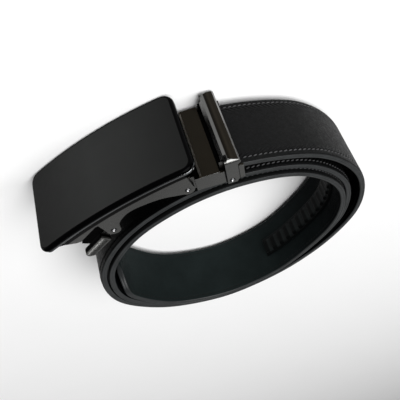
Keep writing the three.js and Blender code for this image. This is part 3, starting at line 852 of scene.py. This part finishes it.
class BELT_OT_rack(bpy.types.Operator):
    """Toothed rack: a moulded strip with a raised border and a row of ratchet teeth"""

    bl_idname = "belt.rack"
    bl_label = "Ratchet rack"

    def execute(self, context):
        rack = context.scene.belt_rack
        route = strap_route(context)
        start, pitch, half = mm(rack.from_tip), mm(rack.pitch), mm(rack.width) / 2
        rise = 0.32  # height of the border
        steps = int(mm(rack.length) / 0.3)
        along = np.linspace(0, mm(rack.length), steps)[:, None]
        across = np.r_[half, half - 0.12, half - 0.4, half - 0.8, half - 1.1, half - 1.3, half - 1.6, 3.0, 1.5, 0]
        across = np.r_[across, -across[-2::-1]]
        inward = half - np.abs(across)
        # Tooth's face rises steeply and its back falls in a straight slope
        phase = (along % pitch) / pitch
        tooth = np.clip(phase / 0.07, 0, 1) * np.clip((1 - phase) / 0.72, 0, 1)
        inside = smooth((inward - 1.2) / 0.4)
        ridge = bump_at(inward, 0.65, 0.6)
        ends = smooth(np.minimum(along, mm(rack.length) - along) / 0.8)
        rounded = smooth(inward / 0.35)
        level = mm(rack.backing) * (0.45 + 0.55 * rounded)
        level = level + (mm(rack.tooth) * tooth * inside + rise * ridge) * ends
        # Ribs that close the border at both ends
        close = bump_at(np.minimum(along, mm(rack.length) - along), 0.9, 0.6)
        level = level + rise * close * inside
        face = -route.thickness / 2 + 0.05
        depth = face - level * (0.5 + 0.5 * ends)
        height = np.broadcast_to(route.width / 2 + across, depth.shape)
        back_height = np.array([-half, -half + 1.5, 0, half - 1.5, half])[None] + route.width / 2
        back_height = np.broadcast_to(back_height, (steps, 5))
        back_depth = np.full((steps, 5), face)
        rings = route.point(
            start + along, np.hstack([depth, back_depth]), np.hstack([height, back_height])
        )
        middle = (across[:-1] + across[1:]) / 2
        lower_border = (half - np.abs(middle) < 1.1) & (middle < 0)
        # Back slopes of the teeth and the lower border take the lighter plastic: painted highlight
        lit = (phase[1:] + phase[:-1]) / 2 > 0.55
        teeth = lit & (half - np.abs(middle) > 1.3)
        sides = np.broadcast_to([True, False, False, False, False, False], (steps - 1, 6))
        kinds = np.hstack([teeth | lower_border, sides])
        piece = put_tube("ratchet_teeth", rings, kinds)
        plastic, border = (
            finish(
                name, shade(rack.plastic, factor), 0.42, cloud=120,
                relief=[("noise", 2400, 0.00002)], specular=specular,
            )
            for name, factor, specular in (("Moulded rack plastic", 1, 0.04), ("Rack plastic with painted highlight", 4, 0.06))
        )
        dress(piece, "strap_and_clip", "rack_plastic", [plastic, border], "ratchet_rack")
        return {"FINISHED"}


def bow(x, depth):
    """Arc of the cover's bow, measured from the hinge axis."""
    return -plate_reach + depth + PLATE_BOW - np.sqrt(PLATE_BOW**2 - (x - plate_shift) ** 2)


def joined(arcs, counts):
    """Closed outline of arcs, with straight runs in so many steps from each arc to the next."""
    parts = []
    for arc, following, count in zip(arcs, [*arcs[1:], arcs[0]], counts):
        share = np.linspace(0, 1, count + 1)[1:-1, None]
        parts += [arc, blend(arc[-1], following[0], share)]
    return np.vstack(parts)


def plate_outline(length, height, corner, inset):
    """Rounded rectangle, moved in by the inset: four quarter circles and four straight runs."""
    r = max(corner - inset, 0.3)
    a, b = length / 2 - inset - r, height / 2 - inset - r
    arcs = []
    for quarter, (x, z) in enumerate(((a, b), (-a, b), (-a, -b), (a, -b))):
        angle = quarter * np.pi / 2 + np.linspace(0, np.pi / 2, 12)
        arcs.append(np.column_stack([x + r * np.cos(angle), z + r * np.sin(angle)]))
    return joined(arcs, (30, 12, 30, 12))


def put_slab(name, outline, thickness, front_edge, back_edge, place, bands=None):
    """Slab with rounded edges: its outline carried from the middle of the back, round quarter
    circles, to the middle of the front. Each ring is an inset outline or the outline drawn towards
    its centre, and place turns the flat ring and its depth behind the front into points."""
    rows = []
    for share in (0.25, 0.5, 0.75, 0.92):
        rows.append((share, back_edge, thickness))
    for angle in np.linspace(0, np.pi / 2, 4):
        rows.append((1, back_edge * (1 - np.sin(angle)), thickness - back_edge * (1 - np.cos(angle))))
    for angle in np.linspace(0, np.pi / 2, 7):
        rows.append((1, front_edge * (1 - np.cos(angle)), front_edge * (1 - np.sin(angle))))
    for share in (0.985, 0.95, 0.85, 0.7, 0.5, 0.25):
        rows.append((share, front_edge, 0))
    rings = [place(outline(inset) * share, behind) for share, inset, behind in rows]
    ends = [place(np.zeros((1, 2)), behind)[0] for behind in (thickness, 0)]
    by_ring = None if bands is None else np.array([bands(*row) for row in rows[1:]], int)
    return put_tube(name, np.array(rings), ends=ends, bands=by_ring)


def bowed(depth):
    """Place of a plate's ring: shifted to the plate's middle and bent along the bow."""
    def place(flat, behind):
        x = plate_shift + flat[:, 0]
        return buckle_point(x, bow(x, depth + behind), flat[:, 1])
    return place


class BELT_OT_cover(bpy.types.Operator):
    """Cover plate with its soft edge, and the bright rim that shows behind it"""

    bl_idname = "belt.cover"
    bl_label = "Cover plate and rim"

    def execute(self, context):
        buckle = context.scene.belt_buckle
        size = (mm(buckle.plate_length), mm(buckle.plate_height), mm(buckle.plate_corner))
        cover = put_slab(
            "cover_shell", lambda inset: plate_outline(*size, inset), PLATE_THICKNESS,
            mm(buckle.plate_edge), 0.35, bowed(0), bands=lambda share, inset, behind: share == 1,
        )
        # Along the plate the coating is lighter in the middle and darker towards both ends: painted sheen and
        # painted shade
        coating = finish(
            "Satin black coating", buckle.cover, 0.42, spread=0.04, cloud=40, tones=(0.92, 1.08),
            relief=[("noise", 3800, 0.000012)], specular=0.075,
            bands=lambda tree: banded(tree, length_along(tree, hinge_place * MM, (1, 0, 0)), [
                (-12, shade(buckle.cover, 0.3)), (12, shade(buckle.cover, 0.75)), (32, buckle.cover),
                (46, shade(buckle.cover, 0.75)), (68, shade(buckle.cover, 0.04)),
            ]),
        )
        polish = finish(
            "Polished black edge", POLISHED_BLACK, 0.16, spread=0.02, cloud=60, tones=(0.9, 1.1),
            specular=0.018,
        )
        dress(cover, "buckle", "cover_black", [coating, polish], "cover_plate")
        rim = put_slab(
            "rim_band", lambda inset: plate_outline(*size, inset + rim_inset - RIM_SHOWN), RIM_THICKNESS,
            0.3, 0.3, bowed(rim_depth),
        )
        bright = metal_finish("Bright gunmetal", buckle.bright, 0.16)
        dress(rim, "buckle", "gunmetal_bright", [bright], "plate_rim")
        return {"FINISHED"}


def rivet_profile(radius, half, dome=0.28, dimple=0.5):
    """Pin with a rolled end: a ring round a shallow dimple at both ends of a straight shaft."""
    one = [
        (0.0, half - dimple),
        (radius * 0.34, half - dimple * 0.92),
        (radius * 0.52, half - dimple * 0.5),
        (radius * 0.62, half - 0.06),
        (radius * 0.76, half),
        (radius * 0.92, half - 0.06),
        (radius, half - dome * 0.6),
        (radius, half - dome - 0.2),
    ]
    upper = [(r, middle_height + z) for r, z in one]
    lower = [(r, middle_height - z) for r, z in one]
    return lower + upper[::-1]


def put_rivet(name, node_name, radius):
    """Rivet in the place of a frame node's pin."""
    low, high = node_box(node_name)
    place = (low + high) / 2 - belt_shift
    return put_turned(name, place, rivet_profile(radius, (high - low)[2] / 2))


class BELT_OT_frame(bpy.types.Operator):
    """Buckle frame with eased edges, and its two pins"""

    bl_idname = "belt.frame"
    bl_label = "Buckle frame and pins"

    def execute(self, context):
        buckle = context.scene.belt_buckle
        steel = metal_finish("Pin steel", buckle.steel, 0.2)
        bow_centre = (hinge_place + [plate_shift, PLATE_BOW - plate_reach, 0]) * MM
        # The frame is dark up to a set depth behind the cover's front: painted shadow of the rim on the walls
        dark = shade(buckle.gunmetal, 0.03)
        walls = metal_finish("Frame gunmetal", buckle.gunmetal, bands=lambda tree: banded(
            tree, length_from_axis(tree, bow_centre), [
                (PLATE_BOW - 60, buckle.gunmetal), (PLATE_BOW - PAINTED_SHADOW_FOOT - 0.15, buckle.gunmetal),
                (PLATE_BOW - PAINTED_SHADOW_FOOT, dark), (PLATE_BOW, dark),
            ],
        ))
        case = eased_copy("buckle_frame", "frame_case", buckle.ease)
        dress(case, "buckle", "gunmetal", [walls], "buckle_frame")
        for name, node_name, radius in (("hinge_rivet", "hinge_pin", 1.1), ("lever_rivet", "lever_pin", 1.1)):
            pin = put_rivet(name, node_name, radius)
            dress(pin, "buckle", "pin_steel", [steel], node_name)
        return {"FINISHED"}


def ridge_shape(width, height):
    """Ridge of unit length with a half-ellipse section whose foot lies below the surface."""
    x = np.array([-0.5, -0.44, 0.44, 0.5])[:, None]
    size = np.array([0.4, 1, 1, 0.4])[:, None]
    turn = np.linspace(0, 2 * np.pi, 8, endpoint=False)
    y = width / 2 * size * np.cos(turn)
    z = height * size * np.sin(turn)
    rings = np.stack(np.broadcast_arrays(x, y, z), -1).reshape(-1, 3)
    quads, fans = tube_faces(4, 8)
    return np.vstack([rings, [[-0.5, 0, 0], [0.5, 0, 0]]]), quads, fans


def tab_outline(middle, inset):
    """Tab's outline about its middle, moved in by the inset: a straight end and a half circle."""
    half = ARM_WIDTH / 2 - inset
    turn = np.linspace(-np.pi / 2, np.pi / 2, 25)
    arc = np.column_stack([TAB_REACH - middle + half * np.cos(turn), half * np.sin(turn)])
    across = np.linspace(half, -half, 9)
    end = np.column_stack([np.full(9, TAB_START - middle + inset), across])
    return joined([arc, end], (11, 11))


class BELT_OT_lever(bpy.types.Operator):
    """Release lever with eased edges, and its rounded tab with a knurled side"""

    bl_idname = "belt.lever"
    bl_label = "Release lever"

    def execute(self, context):
        buckle = context.scene.belt_buckle
        gunmetal = metal_finish("Gunmetal", buckle.gunmetal)
        black = painted_shade_steel()
        # Lever faces that look along -y take the black of painted shade
        lever = eased_copy("release_lever", "lever_body", buckle.ease * 2.2, second=facing((0, -1, 0), 0.6))
        dress(lever, "lever", "gunmetal", [gunmetal, black], "release_lever")
        low, high = node_box("lever_pin")
        pin = ((low + high) / 2 - belt_shift)[:2]
        top = node_box("release_lever")[1][2] - belt_shift[2]
        slope = math.radians(TAB_SLOPE)
        ahead = np.array([math.cos(slope), math.sin(slope)])
        aside = np.array([-ahead[1], ahead[0]])
        middle = (TAB_START + TAB_REACH + ARM_WIDTH / 2) / 2

        def place(flat, behind):
            level = pin + (middle + flat[:, :1]) * ahead + flat[:, 1:] * aside
            return np.column_stack([level, np.full(len(flat), top + 0.03 - behind)])

        # The tab's sides below its rounded top edge take the black of painted shade
        tab = put_slab(
            "lever_tab", lambda inset: tab_outline(middle, inset - 0.04), TAB_WIDTH, TAB_ROUND, 0.3, place,
            bands=lambda share, inset, behind: behind > TAB_ROUND * 0.3,
        )
        dress(tab, "lever", "gunmetal", [gunmetal, black])
        marks = np.arange(TAB_START + 1.2, TAB_REACH + ARM_WIDTH / 2 - 1.0, 0.62)
        past = np.clip(marks - TAB_REACH, 0, None)
        reach = np.sqrt((ARM_WIDTH / 2) ** 2 - past**2) * 2 - TAB_ROUND
        origin = np.column_stack([pin + marks[:, None] * ahead, np.full(len(marks), top)])
        along = np.column_stack([reach[:, None] * aside, np.zeros(len(marks))])
        across = np.column_stack([np.tile(ahead, (len(marks), 1)), np.zeros(len(marks))])
        out = np.tile([0.0, 0.0, 1.0], (len(marks), 1))
        shape, quads, fans = ridge_shape(0.42, 0.2)
        knurl = put_copies("lever_knurl", shape, quads, fans, (origin, along, across, out))
        dress(knurl, "lever", "gunmetal", [gunmetal])
        return {"FINISHED"}


class BELT_OT_clip(bpy.types.Operator):
    """Strap clip and clamp with eased edges, and the clamp's pin"""

    bl_idname = "belt.clip"
    bl_label = "Strap clip and clamp"

    def execute(self, context):
        buckle = context.scene.belt_buckle
        gunmetal = metal_finish("Gunmetal", buckle.gunmetal)
        steel = metal_finish("Pin steel", buckle.steel, 0.2)
        black, dark = painted_shade_steel(), shade(buckle.gunmetal, 0.03)
        # Painted shade in the gaps at both sides of the clamp's ear
        sides = metal_finish("Clip gunmetal", buckle.gunmetal, bands=clip_bands(
            (0, buckle.gunmetal), (EAR_FROM - 0.6, buckle.gunmetal), (EAR_FROM - 0.5, dark),
            (EAR_TO + 0.45, dark), (EAR_TO + 0.55, buckle.gunmetal), (30, buckle.gunmetal),
        ))
        # Painted shade behind the face plate's near edge, painted highlight on the edge
        shaded_gunmetal = metal_finish("Shaded gunmetal", buckle.shaded_gunmetal, 0.3, bands=clip_bands(
            (0, shade(buckle.shaded_gunmetal, 0.1)), (FACE_FROM - 0.2, shade(buckle.shaded_gunmetal, 0.1)),
            (FACE_FROM, shade(buckle.shaded_gunmetal, 2.4)), (FACE_FROM + 0.8, shade(buckle.shaded_gunmetal, 2.4)),
            (FACE_FROM + 1.1, buckle.shaded_gunmetal), (30, buckle.shaded_gunmetal),
        ))
        # Painted highlight and shade in bands along the clamp's bar
        bar_painted_light = metal_finish("Painted light bands on the clamp bar", buckle.shaded_gunmetal, 0.3, bands=clip_bands(
            (16, buckle.gunmetal), (18.9, buckle.gunmetal), (19.5, shade(buckle.shaded_gunmetal, 0.5)),
            (20.2, shade(buckle.shaded_gunmetal, 0.6)), (21.2, shade(buckle.shaded_gunmetal, 1.6)),
            (22.4, shade(buckle.shaded_gunmetal, 1.1)), (25, shade(buckle.shaded_gunmetal, 1.7)),
        ))
        lit_edge = metal_finish("Lit edge", LIT_EDGE, 0.5)
        # Darker copy of the gunmetal for the clamp bar's slanted faces: painted shade
        soft = metal_finish("Clamp bar chamfer with painted shade", shade(buckle.gunmetal, 0.7))
        outward = facing((*out_of_clip, 0), 0.965)
        slanted = facing((*(out_of_clip - along_clip) / math.sqrt(2), 0), 0.8)
        inward = facing((*-along_clip, 0), 0.95)

        def hidden(normals, middles):
            """Faces that look up from the far leg, and those that look outward below the bar: these take the black
            of painted shade.
            """
            depth = (middles[:, :2] - HINGE) @ out_of_clip
            below_bar = outward(normals, middles) & (depth > FACE_OUT + 1) & (depth < BAR_OUT - 2)
            return (normals[:, 2] > 0.9) & (middles[:, 2] < middle_height) | below_bar

        def choose(normals, middles):
            # Faces looking back along the clip and the hidden ones take material 2, the black of painted shade;
            # outward faces take 1, slanted faces 3
            rules = [inward(normals, middles) | hidden(normals, middles), outward(normals, middles)]
            return np.select([*rules, slanted(normals, middles)], [2, 1, 3], 0)

        clip = eased_copy("clip_body", "strap_clip", buckle.ease * 1.5, second=choose)
        dress(clip, "strap_and_clip", "gunmetal", [sides, shaded_gunmetal, black, lit_edge], "clip_body")
        bail = eased_copy("clamp_bail", "clamp_bar", buckle.ease * 2, second=choose)
        dress(bail, "strap_and_clip", "gunmetal", [gunmetal, bar_painted_light, black, soft], "clamp_bail")
        pin = put_rivet("clamp_rivet", "clamp_pin", 1.0)
        dress(pin, "strap_and_clip", "pin_steel", [steel], "clamp_pin")
        return {"FINISHED"}


class BELT_OT_stage(bpy.types.Operator):
    """Pale floor, soft light and the camera"""

    bl_idname = "belt.stage"
    bl_label = "Stage"

    def execute(self, context):
        stage = context.scene.belt_stage
        mesh = bpy.data.meshes.new("floor")
        turn = np.linspace(0, 2 * np.pi, 96, endpoint=False)
        rim = np.column_stack([12 * np.cos(turn), 12 * np.sin(turn), np.zeros(96)])
        mesh.from_pydata(rim.tolist(), [], [list(range(96))])
        floor = bpy.data.objects.new("floor", mesh)
        context.scene.collection.objects.link(floor)
        paper = finish("Floor paper", stage.floor, 0.8, cloud=3, tones=(0.99, 1.0))
        mesh.materials.append(paper)
        world = bpy.data.worlds.new("studio")
        world.use_nodes = True
        background = world.node_tree.nodes["Background"]
        background.inputs["Color"].default_value = (1, 1, 1, 1)
        background.inputs["Strength"].default_value = WORLD_STRENGTH
        context.scene.world = world
        for name, place, size, power in (
            ("top_box", (-0.75, -0.55, 1.35), 1.8, stage.top_power),
            ("back_box", (0.1, 1.9, 1.1), 1.6, stage.back_power),
            ("side_box", (1.75, 1.95, 1.75), 1.4, stage.back_power * 0.8),
            ("corner_box", (-1.0, 1.7, 0.42), 0.5, stage.back_power * 0.5),
        ):
            lamp = bpy.data.lights.new(name, "AREA")
            lamp.shape = "DISK"
            lamp.size = size
            lamp.energy = power
            light = bpy.data.objects.new(name, lamp)
            light.location = place
            light.rotation_mode = "QUATERNION"
            light.rotation_quaternion = Vector(place).to_track_quat("Z", "Y")
            context.scene.collection.objects.link(light)
        context.scene.collection.objects.link(belt_camera())
        context.scene.camera = bpy.data.objects["camera"]
        context.scene.view_settings.view_transform = "Standard"
        return {"FINISHED"}


WORLD_STRENGTH = 0.1
CAMERA_PLACE = (-0.07498, -0.23745, 0.16639)
CAMERA_TURN = 15.02  # degrees right of +Y
CAMERA_DIP = 31.05  # degrees below the horizon
CAMERA_ROLL = 159.3
FOCAL_PIXELS = 526.9
FRAME_PIXELS = 400
AXIS_PIXEL = (235.0, 200.0)


def belt_camera():
    """Camera from its place, its turn, its dip and its roll about the line of sight."""
    turn, dip, roll = (math.radians(angle) for angle in (CAMERA_TURN, CAMERA_DIP, CAMERA_ROLL))
    ahead = Vector((math.sin(turn) * math.cos(dip), math.cos(turn) * math.cos(dip), -math.sin(dip)))
    level = Vector((math.cos(turn), -math.sin(turn), 0))
    above = level.cross(ahead)
    right = level * math.cos(roll) + above * math.sin(roll)
    up = right.cross(ahead)
    data = bpy.data.cameras.new("camera")
    data.sensor_width = 36
    data.lens = FOCAL_PIXELS / FRAME_PIXELS * data.sensor_width
    data.shift_x = 0.5 - AXIS_PIXEL[0] / FRAME_PIXELS
    data.shift_y = AXIS_PIXEL[1] / FRAME_PIXELS - 0.5
    data.clip_start = 0.01
    camera = bpy.data.objects.new("camera", data)
    axes = Matrix((right, up, -ahead)).transposed().to_4x4()
    camera.matrix_world = Matrix.Translation(CAMERA_PLACE) @ axes
    return camera


class BELT_PT_panel(bpy.types.Panel):
    """Sizes, colours and steps of the belt"""

    bl_idname = "BELT_PT_panel"
    bl_label = "Ratchet Belt"
    bl_space_type = "VIEW_3D"
    bl_region_type = "UI"
    bl_category = "Ratchet Belt"

    def draw(self, context):
        for settings in SETTINGS:
            group = getattr(context.scene, settings)
            box = self.layout.box()
            for name in group.__annotations__:
                box.prop(group, name)
        for step in STEPS:
            self.layout.operator(step.bl_idname)


SETTINGS = {
    "belt_strap": StrapSettings,
    "belt_rack": RackSettings,
    "belt_buckle": BuckleSettings,
    "belt_stage": StageSettings,
}
STEPS = (
    BELT_OT_strap,
    BELT_OT_stitches,
    BELT_OT_rack,
    BELT_OT_cover,
    BELT_OT_frame,
    BELT_OT_lever,
    BELT_OT_clip,
    BELT_OT_stage,
)


def register():
    for item in (*SETTINGS.values(), *STEPS, BELT_PT_panel):
        bpy.utils.register_class(item)
    for name, settings in SETTINGS.items():
        setattr(bpy.types.Scene, name, PointerProperty(type=settings))


def unregister():
    for name in SETTINGS:
        delattr(bpy.types.Scene, name)
    for item in reversed((*SETTINGS.values(), *STEPS, BELT_PT_panel)):
        bpy.utils.unregister_class(item)


def main():
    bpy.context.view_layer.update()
    register()
    for step in STEPS:
        family, action = step.bl_idname.split(".")
        getattr(getattr(bpy.ops, family), action)()


if __name__ == "__main__":
    main()
